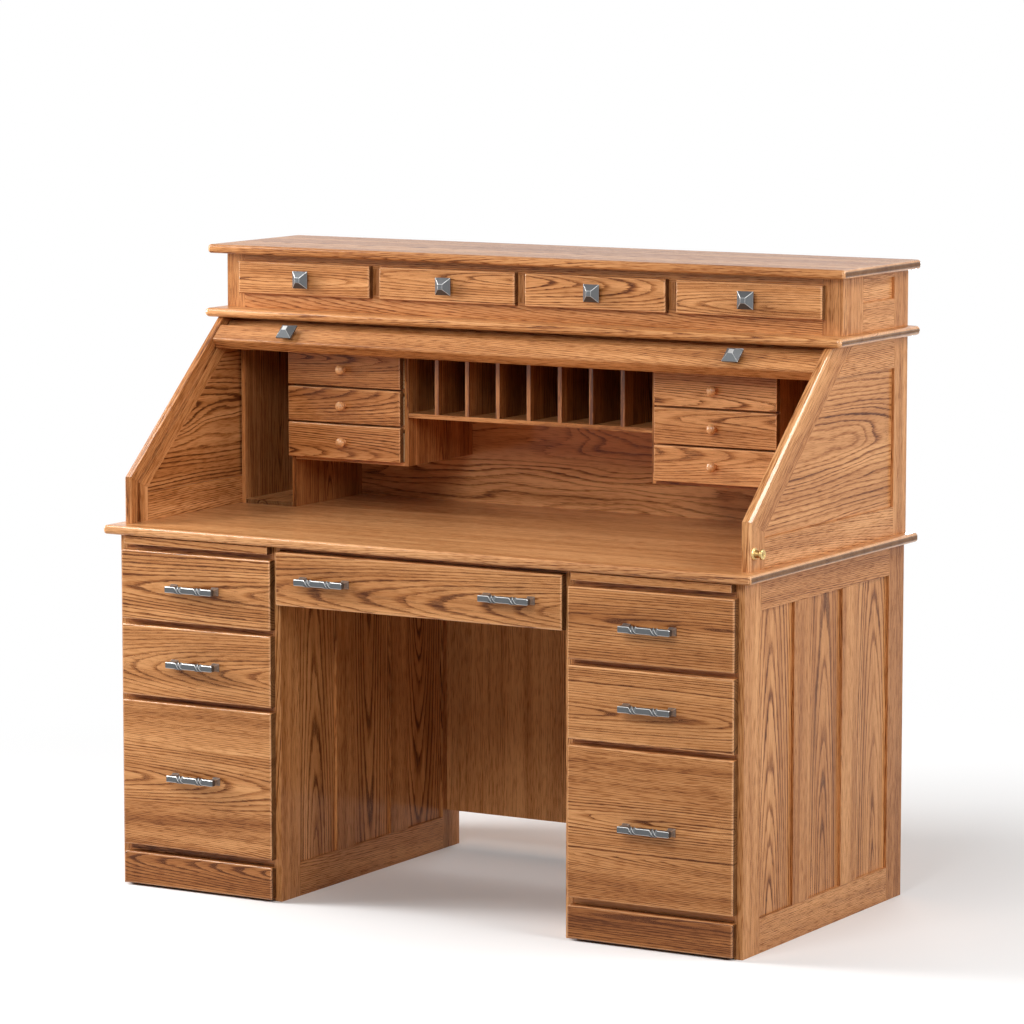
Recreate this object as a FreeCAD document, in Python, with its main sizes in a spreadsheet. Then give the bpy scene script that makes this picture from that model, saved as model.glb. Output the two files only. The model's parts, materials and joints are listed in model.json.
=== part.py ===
"""A roll-top desk: two drawer pedestals, a writing top, sloped sides with a slatted roll front,
a pigeonhole unit inside them and a row of small drawers on top.

Millimetres, +X to the right, +Y to the back, +Z up, origin on the floor under the middle.
The roll front is drawn open, as it stands when the desk is in use.
"""
import FreeCAD
import Part
import math
import os
import re
from types import SimpleNamespace

SIZES = {
    # whole desk
    "desk_width": 1524,
    "desk_height": 762,
    "side_lip": 27,
    "case_depth": 711,
    "front_lip": 28,
    "back_lip": 8,
    "top_thick": 19,
    "top_round": 7,
    # pedestal sides
    "pedestal_width": 397,
    "frame_thick": 19,
    "stile_width": 70,
    "top_rail": 62,
    "bottom_rail": 70,
    "panel_thick": 7,
    "panel_recess": 6,
    # inside the pedestals
    "web_thick": 19,
    "web_rail": 57,
    "runner_width": 20,
    "floor_low": 73,
    "back_thick": 8,
    "back_low": 20,
    "base_low": 5,
    "base_height": 68,
    "modesty_gap": 41,
    "modesty_thick": 12,
    "modesty_low": 84,
    # pedestal drawers and writing boards
    "front_thick": 19,
    "front_round": 4,
    "front_inset": 13,
    "front_gap": 11,
    "upper_front": 146,
    "middle_front": 149,
    "base_gap": 15,
    "slide_thick": 16,
    "slide_back_gap": 233,
    "slide_edge": 19,
    "slide_headroom": 2,
    "slide_reveal": 12,
    "slide_gap": 1,
    "drawer_back_gap": 113,
    "drawer_wall": 12,
    "drawer_bottom": 6,
    "bottom_lift": 8,
    "drawer_headroom": 9,
    "run_gap": 0.3,
    "side_gap": 1,
    # centre drawer
    "centre_front": 111,
    "centre_drop": 10,
    "centre_back_gap": 178,
    "centre_gap": 13,
    "centre_lift": 18,
    "centre_headroom": 9,
    "apron_gap": 1,
    "apron_depth": 45,
    "hanger_width": 32,
    "hanger_thick": 13,
    "hanger_setback": 20,
    "centre_pull_inset": 120,
    # bar pulls
    "pull_length": 116,
    "pull_centres": 102,
    "pull_reach": 30,
    "pull_bar": 12.5,
    "pull_foot": 17,
    "ring_radius": 8.5,
    "ring_width": 4,
    "ring_place": 20.5,
    "ring_step": 7,
    # sloped sides
    "side_setback": 16,
    "side_outset": 3,
    "side_thick": 19,
    "knee_rise": 98,
    "upper_height": 409,
    "slope_angle": 41.5,
    "slope_stile": 60,
    "rear_stile": 61,
    "side_low_rail": 60,
    "side_top_rail": 63,
    "track_inset": 27,
    "track_width": 12,
    "track_depth": 7,
    "upper_back_thick": 12,
    "upper_back_gap": 2,
    # roll front
    "slat_pitch": 24.4,
    "slat_thick": 8,
    "slat_bevel": 2,
    "canvas_thick": 1,
    "bend_gap": 2.5,
    "tail_gap": 0.5,
    "ledge_gap": 4,
    "curtain_gap": 0.4,
    "lead_height": 45,
    "lead_thick": 29,
    "lead_round": 5,
    "lead_clear": 1.5,
    # push lock
    "lock_inset": 16,
    "lock_rise": 35,
    "bolt_radius": 3,
    "sleeve_radius": 8,
    "bore_gap": 0.4,
    "bolt_travel": 10,
    "socket_depth": 14,
    "rosette_radius": 12.5,
    "rosette_thick": 4,
    "lock_head_radius": 10.5,
    "lock_head_thick": 6,
    # pigeonhole unit
    "pigeon_place": 432,
    "thin_board": 9.5,
    "cubby_width": 121.25,
    "slot_lift": 208,
    "bank_width": 275,
    "bank_lift": 104,
    "bank_pitch": 78,
    "pigeon_front": 74,
    "pigeon_front_thick": 16,
    "pigeon_front_drop": 1.5,
    "pigeon_reveal": 2,
    "pigeon_round": 3,
    "pigeon_back_gap": 25,
    "pigeon_wall": 8,
    "pigeon_bottom": 4,
    "turned_radius": 10.5,
    "turned_neck": 4.5,
    "turned_reach": 12,
    # ledge and upper drawer box
    "ledge_place": 354,
    "ledge_thick": 19,
    "ledge_round": 9,
    "hutch_place": 410,
    "hutch_height": 117,
    "hutch_end_stile": 45,
    "hutch_mullion": 36.5,
    "hutch_low_rail": 38,
    "hutch_top_rail": 22,
    "hutch_overlay": 6,
    "hutch_front_thick": 16,
    "hutch_back_gap": 43,
    "hutch_stile": 73,
    "hutch_rear_stile": 65,
    "hutch_side_low": 60,
    "hutch_side_top": 12,
    "hutch_partition": 12,
    "hutch_deck": 8.5,
    "hutch_top_place": 368,
    "hutch_top_thick": 19,
    # pyramid knobs
    "knob_square": 36.5,
    "knob_tip": 11,
    "knob_plate": 3,
    "knob_rise": 11,
    "knob_neck": 7,
    "knob_neck_reach": 11,
}

FACE = "(pull_reach + front_thick - case_depth - back_lip) / 2"
HALF = "(desk_width / 2)"
CASE = "(desk_width / 2 - side_lip)"
CASE_IN = f"({CASE} - frame_thick)"
KNEE = f"({CASE} - pedestal_width)"
KNEE_IN = f"({KNEE} + frame_thick)"
UNDER_TOP = "(desk_height - top_thick)"
FLOOR_TOP = "(floor_low + web_thick)"
BACK_FACE = "(case_depth - back_thick)"
MODESTY_Y = "(case_depth - modesty_gap - modesty_thick)"
UPPER_BACK = "(case_depth - upper_back_gap - upper_back_thick)"
SLIDE_LOW = f"({UNDER_TOP} - slide_headroom - slide_thick)"
SIDE_OUT = f"({CASE} + side_outset)"
SIDE_IN = f"({SIDE_OUT} - side_thick)"
KNEE_TOP = "(desk_height + knee_rise)"
LEDGE_LOW = "(desk_height + upper_height)"
LEDGE_TOP = f"({LEDGE_LOW} + ledge_thick)"
HUTCH_TOP = f"({LEDGE_TOP} + hutch_height)"
MITRE = "tan((90 - slope_angle) / 2)"
HUTCH_ROW = (-1.5, -0.5, 0.5, 1.5)
HUTCH_SPLITS = (-1, 0, 1)
HUTCH_REACH = f"({SIDE_OUT} - hutch_end_stile)"
HUTCH_OPENING = f"((2 * {HUTCH_REACH} - {len(HUTCH_SPLITS)} * hutch_mullion) / {len(HUTCH_ROW)})"
HUTCH_PITCH = f"({HUTCH_OPENING} + hutch_mullion)"

LEFT, RIGHT = -1, 1
SIDES = {"left": LEFT, "right": RIGHT}
X_AXIS = FreeCAD.Vector(1, 0, 0)
Y_AXIS = FreeCAD.Vector(0, 1, 0)
QUARTER = "90"
HALF_TURN = "180"

doc = FreeCAD.newDocument("roll_top_desk")
sheet = doc.addObject("Spreadsheet::Sheet", "Sizes")
for row, (alias, value) in enumerate(SIZES.items(), start=1):
    sheet.set(f"A{row}", alias)
    sheet.set(f"B{row}", str(value))
    sheet.setAlias(f"B{row}", alias)
doc.recompute()

nodes = []


def linked(text):
    """The expression, with each size's name pointing at its cell."""
    return re.sub(r"[a-z]\w*", lambda word: f"Sizes.{word[0]}" if word[0] in SIZES else word[0], text)


def bind(item, prop, text):
    item.setExpression(prop, linked(text))


def place(item, x, y, z, axis=None, angle="0"):
    """Put an item at a point, with y measured back from the front of the case."""
    if axis:
        item.Placement = FreeCAD.Placement(FreeCAD.Vector(), FreeCAD.Rotation(axis, 1))
        bind(item, "Placement.Rotation.Angle", angle)
    for letter, text in zip("xyz", (x, f"{FACE} + {y}", z)):
        bind(item, f"Placement.Base.{letter}", text)
    return item


def across(side, near, far):
    """A pair of planes across the desk, on its left or its right."""
    return (near, far) if side == RIGHT else (f"-({far})", f"-({near})")


def box_sizes(item, x, y, z):
    for prop, (low, high) in zip(("Length", "Width", "Height"), (x, y, z)):
        bind(item, prop, f"({high}) - ({low})")


def board(name, x, y, z):
    """A square-edged board between three pairs of planes."""
    item = doc.addObject("Part::Box", name)
    box_sizes(item, x, y, z)
    return place(item, x[0], f"({y[0]})", z[0])


def on_front(edge, box):
    return all(abs(v.Y - box.YMin) < 1e-6 for v in edge.Vertexes)


def on_front_and_ends(edge, box):
    """Long edges at the front and at both ends, and the two front corners."""
    ends = [all(abs(v.X - x) < 1e-6 for v in edge.Vertexes) for x in (box.XMin, box.XMax)]
    at_back = all(abs(v.Y - box.YMax) < 1e-6 for v in edge.Vertexes)
    return on_front(edge, box) or (any(ends) and not at_back)


def low_edges(edge, box):
    """The two long edges at the lower end of a board that is drawn lying along +Y."""
    return on_front(edge, box) and abs(edge.Vertexes[0].X - edge.Vertexes[1].X) > 1e-6


def eased_body(name, x, y, z, radius, chosen):
    """A board with chosen edges rounded, as a body at its own corner."""
    body = doc.addObject("PartDesign::Body", name)
    block = body.newObject("PartDesign::AdditiveBox", f"{name}_block")
    box_sizes(block, x, y, z)
    doc.recompute()
    edges = block.Shape.Edges
    picked = [f"Edge{i}" for i, e in enumerate(edges, start=1) if chosen(e, block.Shape.BoundBox)]
    ease = body.newObject("PartDesign::Fillet", f"{name}_ease")
    ease.Base = (block, picked)
    bind(ease, "Radius", radius)
    return body


def eased_board(name, x, y, z, radius, chosen=on_front):
    return place(eased_body(name, x, y, z, radius, chosen), x[0], f"({y[0]})", z[0])


def fused(name, pieces):
    item = doc.addObject("Part::MultiFuse", name)
    item.Shapes = pieces
    return item


def cut(name, base, tool):
    item = doc.addObject("Part::Cut", name)
    item.Base = base
    item.Tool = tool
    return item


def node(label, *pieces):
    """Hand one named sub-part over for writing; several boards stay separate solids."""
    item = pieces[0]
    if len(pieces) > 1:
        item = doc.addObject("Part::Compound", f"{label}_set")
        item.Links = list(pieces)
    item.Label = label
    nodes.append(item)


def desk_top():
    x = (f"-{HALF}", HALF)
    y = ("-front_lip", "case_depth + back_lip")
    z = (UNDER_TOP, "desk_height")
    node("desk_top", eased_board("top_slab", x, y, z, "top_round", on_front_and_ends))


PANEL_GAP = "((case_depth - 4 * stile_width) / 3)"
PANEL_LOW, PANEL_HIGH = "bottom_rail", f"({UNDER_TOP} - top_rail)"


def side_frame(name, x):
    """Two stiles, two mullions and two rails of a pedestal side."""
    pieces = []
    for k in range(4):
        y0 = f"{k} * (stile_width + {PANEL_GAP})"
        z = ("0", UNDER_TOP) if k in (0, 3) else (PANEL_LOW, PANEL_HIGH)
        pieces.append(board(f"{name}_stile", x, (y0, f"{y0} + stile_width"), z))
    rails_y = ("stile_width", "case_depth - stile_width")
    pieces.append(board(f"{name}_low_rail", x, rails_y, ("0", PANEL_LOW)))
    pieces.append(board(f"{name}_top_rail", x, rails_y, (PANEL_HIGH, UNDER_TOP)))
    return pieces


def side_panels(name, x):
    pieces = []
    for k in range(3):
        y0 = f"stile_width + {k} * (stile_width + {PANEL_GAP})"
        pieces.append(board(name, x, (y0, f"{y0} + {PANEL_GAP}"), (PANEL_LOW, PANEL_HIGH)))
    return pieces


def pedestal_sides():
    panels = []
    for word, side in SIDES.items():
        outer = side_frame(f"{word}_outer", across(side, CASE_IN, CASE))
        inner = side_frame(f"{word}_inner", across(side, KNEE, KNEE_IN))
        node(f"{word}_pedestal_frame", *outer, *inner)
        outer_face = f"({CASE} - panel_recess)"
        inner_face = f"({KNEE} + panel_recess)"
        panels += side_panels(f"{word}_panel", across(side, f"{outer_face} - panel_thick", outer_face))
        panels += side_panels(f"{word}_panel", across(side, inner_face, f"{inner_face} + panel_thick"))
    node("pedestal_panels", *panels)


UPPER_TOP = f"({SLIDE_LOW} - slide_reveal)"
UPPER_LOW = f"({UPPER_TOP} - upper_front)"
MIDDLE_TOP = f"({UPPER_LOW} - front_gap)"
MIDDLE_LOW = f"({MIDDLE_TOP} - middle_front)"
FILE_TOP = f"({MIDDLE_LOW} - front_gap)"
FILE_LOW = "(base_low + base_height + base_gap)"
SLIDE_WEB = f"({SLIDE_LOW} - run_gap - web_thick / 2)"
UPPER_WEB = f"({UPPER_LOW} - front_gap / 2)"
MIDDLE_WEB = f"({MIDDLE_LOW} - front_gap / 2)"


def web_frames():
    """Front rails and side runners that carry the writing boards and the drawers."""
    pieces = []
    for word, side in SIDES.items():
        for middle in (SLIDE_WEB, UPPER_WEB, MIDDLE_WEB):
            z = (f"{middle} - web_thick / 2", f"{middle} + web_thick / 2")
            pieces.append(board(f"{word}_web_rail", across(side, KNEE_IN, CASE_IN), ("0", "web_rail"), z))
            run_y = ("web_rail", BACK_FACE)
            near = across(side, KNEE_IN, f"{KNEE_IN} + runner_width")
            far = across(side, f"{CASE_IN} - runner_width", CASE_IN)
            pieces.append(board(f"{word}_runner", near, run_y, z))
            pieces.append(board(f"{word}_runner", far, run_y, z))
    node("web_frames", *pieces)


def pedestal_shells():
    floors, backs, bases = [], [], []
    for word, side in SIDES.items():
        x = across(side, KNEE_IN, CASE_IN)
        floors.append(board(f"{word}_floor", x, ("0", BACK_FACE), ("floor_low", FLOOR_TOP)))
        backs.append(board(f"{word}_back", x, (BACK_FACE, "case_depth"), ("back_low", UNDER_TOP)))
        base_x = across(side, f"{KNEE} + front_inset", f"{CASE} - front_inset")
        base_z = ("base_low", "base_low + base_height")
        bases.append(eased_board(f"{word}_base", base_x, ("-front_thick", "0"), base_z, "front_round"))
    node("pedestal_floors", *floors)
    node("pedestal_backs", *backs)
    node("base_boards", *bases)
    modesty_y = (MODESTY_Y, f"{MODESTY_Y} + modesty_thick")
    node("modesty_panel", board("modesty", (f"-{KNEE}", KNEE), modesty_y, ("modesty_low", UNDER_TOP)))


def drawer_box(name, x, y, z, wall, bottom):
    """Sub-front, back, two sides and a bottom, butted together."""
    inside_x = (f"{x[0]} + {wall}", f"{x[1]} - {wall}")
    inside_y = (f"{y[0]} + {wall}", f"{y[1]} - {wall}")
    floor_z = (f"{z[0]} + bottom_lift", f"{z[0]} + bottom_lift + {bottom}")
    return [
        board(f"{name}_side", (x[0], inside_x[0]), y, z),
        board(f"{name}_side", (inside_x[1], x[1]), y, z),
        board(f"{name}_subfront", inside_x, (y[0], inside_y[0]), z),
        board(f"{name}_back", inside_x, (inside_y[1], y[1]), z),
        board(f"{name}_bottom", inside_x, inside_y, floor_z),
    ]


def bar_pull(name, x, z):
    """A square bar on two flared feet, with two pairs of rings, cast in one piece."""
    tip = "(ring_radius - pull_bar / 2 - front_thick - pull_reach)"
    bar_x = (f"{x} - pull_length / 2", f"{x} + pull_length / 2")
    bar_z = (f"{z} - pull_bar / 2", f"{z} + pull_bar / 2")
    pieces = [board(f"{name}_bar", bar_x, (tip, f"{tip} + pull_bar"), bar_z)]
    for sign in ("-", "+"):
        foot = doc.addObject("Part::Wedge", f"{name}_foot")
        for letter in "XZ":
            bind(foot, f"{letter}min", "-pull_foot / 2")
            bind(foot, f"{letter}max", "pull_foot / 2")
            bind(foot, f"{letter}2min", "-pull_bar / 2")
            bind(foot, f"{letter}2max", "pull_bar / 2")
        bind(foot, "Ymin", "0")
        bind(foot, "Ymax", "pull_reach - ring_radius")
        pieces.append(place(foot, f"{x} {sign} pull_centres / 2", "(-front_thick)", z, X_AXIS, HALF_TURN))
        for step in range(2):
            ring = doc.addObject("Part::Cylinder", f"{name}_ring")
            bind(ring, "Radius", "ring_radius")
            bind(ring, "Height", "ring_width")
            middle = f"{x} {sign} (ring_place + {step} * ring_step) - ring_width / 2"
            pieces.append(place(ring, middle, f"({tip} + pull_bar / 2)", z, Y_AXIS, QUARTER))
    return fused(name, pieces)


def pedestal_drawers():
    rows = (
        (UPPER_LOW, UPPER_TOP, UPPER_WEB, SLIDE_WEB),
        (MIDDLE_LOW, MIDDLE_TOP, MIDDLE_WEB, UPPER_WEB),
        (FILE_LOW, FILE_TOP, f"({FLOOR_TOP} - web_thick / 2)", MIDDLE_WEB),
    )
    for word, side in SIDES.items():
        front_x = across(side, f"{KNEE} + front_inset", f"{CASE} - front_inset")
        box_x = across(side, f"{KNEE_IN} + side_gap", f"{CASE_IN} - side_gap")
        middle_x = across(side, f"({KNEE} + {CASE}) / 2", "0")[0 if side == RIGHT else 1]
        for number, (low, high, web_below, web_above) in enumerate(rows, start=1):
            name = f"{word}_drawer_{number}"
            front = eased_board(f"{name}_face", front_x, ("-front_thick", "0"), (low, high), "front_round")
            ceiling = f"{web_above} - web_thick / 2"
            box_z = (f"{web_below} + web_thick / 2 + run_gap", f"{ceiling} - drawer_headroom")
            box_y = ("0", f"{BACK_FACE} - drawer_back_gap")
            box = drawer_box(name, box_x, box_y, box_z, "drawer_wall", "drawer_bottom")
            node(name, front, *box)
            pull = bar_pull(f"{word}_bar_{number}", middle_x, f"({low} + {high}) / 2")
            node(f"{word}_pull_{number}", pull)


def writing_boards():
    """Thin boards that pull out above the drawers, each with a solid front edge."""
    for word, side in SIDES.items():
        x = across(side, f"{KNEE_IN} + slide_gap", f"{CASE_IN} - slide_gap")
        z = (SLIDE_LOW, f"{SLIDE_LOW} + slide_thick")
        leaf = board(f"{word}_leaf", x, ("0", f"{BACK_FACE} - slide_back_gap"), z)
        edge = eased_board(f"{word}_leaf_edge", x, ("-slide_edge", "0"), z, "front_round / 2")
        node(f"{word}_writing_slide", leaf, edge)


CENTRE_TOP = f"({UNDER_TOP} - centre_drop)"
CENTRE_LOW = f"({CENTRE_TOP} - centre_front)"
CENTRE_BOX = f"({CENTRE_LOW} + centre_lift)"


def centre_drawer():
    hangers = []
    for word, side in SIDES.items():
        hanger_y = ("hanger_setback", MODESTY_Y)
        hanger_z = (f"{CENTRE_BOX} - run_gap - hanger_thick", f"{CENTRE_BOX} - run_gap")
        hanger_x = across(side, f"{KNEE} - hanger_width", KNEE)
        hangers.append(board(f"{word}_hanger", hanger_x, hanger_y, hanger_z))
    apron_z = (f"{UNDER_TOP} - centre_headroom + apron_gap", UNDER_TOP)
    apron = board("apron", (f"-{KNEE}", KNEE), ("0", "apron_depth"), apron_z)
    node("centre_drawer_rails", apron, *hangers)
    face_z = (CENTRE_LOW, CENTRE_TOP)
    face = eased_board("centre_face", (f"-{KNEE}", KNEE), ("-front_thick", "0"), face_z, "front_round")
    box_x = (f"-({KNEE} - centre_gap)", f"({KNEE} - centre_gap)")
    box_z = (CENTRE_BOX, f"{UNDER_TOP} - centre_headroom")
    box_y = ("0", f"{MODESTY_Y} - centre_back_gap")
    box = drawer_box("centre", box_x, box_y, box_z, "drawer_wall", "drawer_bottom")
    node("centre_drawer", face, *box)
    middle_z = f"({CENTRE_LOW} + {CENTRE_TOP}) / 2"
    spread = f"{KNEE} - centre_pull_inset"
    node("centre_pulls", *[bar_pull("centre_bar", f"{sign}({spread})", middle_z) for sign in ("-", "")])


def post(name, x, near, far):
    """The upright foot of the sloped stile, mitred at its top; near and far count in from the edge."""
    item = doc.addObject("Part::Wedge", name)
    for prop, text in zip(("Xmin", "Xmax", "X2min", "X2max"), x + x):
        bind(item, prop, text)
    bind(item, "Ymin", near)
    bind(item, "Ymax", far)
    for prop, inset in (("Zmax", near), ("Z2max", far)):
        bind(item, prop, f"knee_rise - ({inset}) * {MITRE}")
    bind(item, "Zmin", "0")
    bind(item, "Z2min", "0")
    return place(item, "0", "side_setback", "desk_height")


def sloping(name, x, near, far):
    """A sloping strip above the post, mitred below and cut level under the ledge."""
    item = doc.addObject("Part::Wedge", name)
    for prop, text in zip(("Xmin", "Xmax", "X2min", "X2max"), x + x):
        bind(item, prop, text)
    bind(item, "Ymin", near)
    bind(item, "Ymax", far)
    for low, high, inset in (("Zmin", "Zmax", near), ("Z2min", "Z2max", far)):
        bind(item, low, f"({inset}) * {MITRE}")
        rise = f"upper_height - knee_rise + ({inset}) * cos(slope_angle)"
        bind(item, high, f"({rise}) / sin(slope_angle)")
    return place(item, "0", "side_setback", KNEE_TOP, X_AXIS, "slope_angle - 90")


def behind_slope(name, x):
    """All the room behind the sloping stile, as a tool for cutting boards to the slope."""
    room = doc.addObject("Part::Box", name)
    box_sizes(room, x, ("-case_depth", "case_depth"), ("-case_depth", "-slope_stile"))
    along = "case_depth * cos(slope_angle)"
    out = "case_depth * sin(slope_angle)"
    y = f"(side_setback - {along} + {out})"
    z = f"{KNEE_TOP} - case_depth * sin(slope_angle) - case_depth * cos(slope_angle)"
    return place(room, x[0], y, z, X_AXIS, "slope_angle")


def cut_to_slope(name, x, y, z):
    item = doc.addObject("Part::Common", name)
    item.Base = board(f"{name}_blank", x, y, z)
    item.Tool = behind_slope(f"{name}_room", x)
    return item


LOCK_Y = "(side_setback + lock_inset)"
LOCK_Z = "(desk_height + lock_rise)"
BOLT_BORE = "bolt_radius + bore_gap"
SLEEVE_BORE = "sleeve_radius + bore_gap"


def lock_cylinder(name, radius, near, far):
    """A round piece of the push lock, lying across the desk between two planes."""
    item = doc.addObject("Part::Cylinder", name)
    bind(item, "Radius", radius)
    bind(item, "Height", f"({far}) - ({near})")
    return place(item, near, LOCK_Y, LOCK_Z, Y_AXIS, QUARTER)


def sloped_sides():
    low_z = ("desk_height", "desk_height + side_low_rail")
    top_z = (f"{LEDGE_LOW} - side_top_rail", LEDGE_LOW)
    rear_y = ("case_depth - rear_stile", "case_depth")
    middle_y = ("side_setback + slope_stile", rear_y[0])
    groove_near = "track_inset - track_width / 2"
    groove_far = "track_inset + track_width / 2"
    for word, side in SIDES.items():
        full = across(side, SIDE_IN, SIDE_OUT)
        skin = across(side, f"{SIDE_IN} + track_depth", SIDE_OUT)
        strip = across(side, SIDE_IN, f"{SIDE_IN} + track_depth")
        face = f"({SIDE_OUT} - panel_recess)"
        panel_x = across(side, f"{face} - panel_thick", face)
        foot = post(f"{word}_post", skin, "0", "slope_stile")
        front_strip = post(f"{word}_track_front_foot", strip, "0", groove_near)
        if side == RIGHT:
            foot = cut("bored_post", foot, lock_cylinder("post_bore", SLEEVE_BORE, SIDE_IN, SIDE_OUT))
            strip_bore = lock_cylinder("strip_bore", BOLT_BORE, SIDE_IN, SIDE_OUT)
            front_strip = cut("bored_strip", front_strip, strip_bore)
        node(
            f"{word}_slope_side",
            foot,
            front_strip,
            post(f"{word}_track_rear_foot", strip, groove_far, "slope_stile"),
            sloping(f"{word}_slope_stile", skin, "0", "slope_stile"),
            sloping(f"{word}_track_front", strip, "0", groove_near),
            sloping(f"{word}_track_rear", strip, groove_far, "slope_stile"),
            board(f"{word}_side_low_rail", full, middle_y, low_z),
            board(f"{word}_side_rear_stile", full, rear_y, ("desk_height", LEDGE_LOW)),
            cut_to_slope(f"{word}_side_top_rail", full, middle_y, top_z),
            cut_to_slope(f"{word}_side_panel", panel_x, middle_y, (low_z[1], top_z[0])),
        )
    back_y = (UPPER_BACK, f"{UPPER_BACK} + upper_back_thick")
    back = board("back_board", (f"-({SIDE_IN})", SIDE_IN), back_y, ("desk_height", LEDGE_LOW))
    node("upper_back", back)


CURTAIN_Z = f"({LEDGE_LOW} - ledge_gap - slat_thick / 2)"
TRACK_Y = "(side_setback + track_inset * sin(slope_angle))"
TRACK_Z = f"({KNEE_TOP} - track_inset * cos(slope_angle))"
BEND_Y = f"({TRACK_Y} + ({CURTAIN_Z} - {TRACK_Z}) / tan(slope_angle))"
KNEE_Z = f"({TRACK_Z} + (side_setback + track_inset - {TRACK_Y}) * tan(slope_angle))"
LEAD_DROP = f"({KNEE_Z} - desk_height - lead_clear)"
ROLL_HALF = f"({SIDE_IN} - curtain_gap)"
ROLL_X = (f"-{ROLL_HALF}", ROLL_HALF)
TAIL_PARTS = (2, 3)


def down_slope(along, out):
    """A point by its distance up the open track and out from it; the bend of the track is zero."""
    y = f"({BEND_Y} + ({along}) * cos(slope_angle) - ({out}) * sin(slope_angle))"
    z = f"{CURTAIN_Z} + ({along}) * sin(slope_angle) + ({out}) * cos(slope_angle)"
    return y, z


def slat(name, width):
    """A strip of the roll front with its two outer long edges bevelled."""
    item = doc.addObject("Part::Wedge", name)
    for prop, text in zip(("Xmin", "Xmax", "X2min", "X2max"), ROLL_X + ROLL_X):
        bind(item, prop, text)
    bind(item, "Ymin", "0")
    bind(item, "Ymax", "slat_thick")
    bind(item, "Zmin", "0")
    bind(item, "Zmax", width)
    bind(item, "Z2min", "slat_bevel")
    bind(item, "Z2max", f"{width} - slat_bevel")
    return item


def pyramid_knob(name):
    """A square pyramid on a round neck, drawn upright on its seat and then placed."""
    neck = doc.addObject("Part::Cylinder", f"{name}_neck")
    bind(neck, "Radius", "knob_neck")
    bind(neck, "Height", "knob_neck_reach + knob_plate / 2")
    plate = doc.addObject("Part::Box", f"{name}_plate")
    square = ("-knob_square / 2", "knob_square / 2")
    box_sizes(plate, square, square, ("0", "knob_plate"))
    bind(plate, "Placement.Base.x", square[0])
    bind(plate, "Placement.Base.y", square[0])
    bind(plate, "Placement.Base.z", "knob_neck_reach")
    point = doc.addObject("Part::Wedge", f"{name}_point")
    for letter in "XZ":
        bind(point, f"{letter}min", square[0])
        bind(point, f"{letter}max", square[1])
        bind(point, f"{letter}2min", "-knob_tip / 2")
        bind(point, f"{letter}2max", "knob_tip / 2")
    bind(point, "Ymin", "0")
    bind(point, "Ymax", "knob_rise")
    point.Placement = FreeCAD.Placement(FreeCAD.Vector(), FreeCAD.Rotation(X_AXIS, 1))
    bind(point, "Placement.Rotation.Angle", QUARTER)
    bind(point, "Placement.Base.z", "knob_neck_reach + knob_plate")
    return fused(name, [neck, plate, point])


def lead_rail():
    """The thick bottom rail of the roll front, its two knobs and the two slats above it."""
    foot = f"(-{LEAD_DROP})"
    head = f"({foot} + lead_height)"
    thick = ("(-slat_thick / 2)", "(lead_thick - slat_thick / 2)")
    rail = eased_body("lead_bar", ROLL_X, (foot, head), thick, "lead_round", low_edges)
    y, z = down_slope(foot, thick[0])
    place(rail, ROLL_X[0], y, z, X_AXIS, "slope_angle")
    socket = doc.addObject("Part::Cylinder", "bolt_socket")
    bind(socket, "Radius", BOLT_BORE)
    bind(socket, "Height", "socket_depth + curtain_gap")
    y, z = down_slope(f"{foot} + lock_rise - lead_clear", "track_inset - lock_inset")
    place(socket, f"{SIDE_IN} - socket_depth - curtain_gap", y, z, Y_AXIS, QUARTER)
    node("lead_rail", cut("bored_lead_bar", rail, socket))
    knobs = []
    y, z = down_slope(f"{foot} + lead_height / 2", thick[1])
    for sign in ("-", ""):
        knob = pyramid_knob("lead_knob")
        knobs.append(place(knob, f"{sign}{HUTCH_ROW[-1]} * {HUTCH_PITCH}", y, z, X_AXIS, "slope_angle"))
    node("lead_rail_knobs", *knobs)
    width = f"(({LEAD_DROP} - lead_height - bend_gap) / 2)"
    strips = []
    for k in range(1, 3):
        y, z = down_slope(f"{head} + {k} * {width}", "-slat_thick / 2")
        strips.append(place(slat("lead_slat", width), "0", y, z, X_AXIS, "slope_angle + 90"))
    node("lead_slats", *strips)


def slats_in_run():
    """How many whole slats lie between the bend of the track and the back, with the roll open."""
    size = SimpleNamespace(**SIZES)
    slope = math.radians(size.slope_angle)
    rise = size.upper_height - size.knee_rise - size.ledge_gap - size.slat_thick / 2
    rise = rise + size.track_inset * math.cos(slope)
    bend = size.side_setback + size.track_inset * math.sin(slope) + rise / math.tan(slope)
    back = size.case_depth - size.upper_back_gap - size.upper_back_thick
    return int((back - bend - size.bend_gap) / size.slat_pitch)


def curtain():
    """The slats and canvas that lie level under the ledge, and the tail that runs out below them."""
    count = slats_in_run()
    tail = TAIL_PARTS[0] * count // TAIL_PARTS[1]
    start = f"({BEND_Y} + bend_gap)"
    main = []
    for k in range(1, count + 1):
        strip = slat("curtain_slat", "slat_pitch")
        y = f"{start} + {k} * slat_pitch"
        main.append(place(strip, "0", y, f"{CURTAIN_Z} - slat_thick / 2", X_AXIS, QUARTER))
    node("curtain_slats", *main)
    canvas_z = f"({CURTAIN_Z} - slat_thick / 2)"
    canvas_y = (start, f"{start} + {count} * slat_pitch")
    node("curtain_canvas", board("canvas", ROLL_X, canvas_y, (f"{canvas_z} - canvas_thick", canvas_z)))
    rear = []
    for k in range(tail):
        strip = slat("tail_slat", "slat_pitch")
        y = f"{start} + {count - k} * slat_pitch"
        z = f"{canvas_z} - canvas_thick - tail_gap - slat_thick"
        rear.append(place(strip, "0", y, z, X_AXIS, QUARTER))
    node("tail_slats", *rear)


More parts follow.
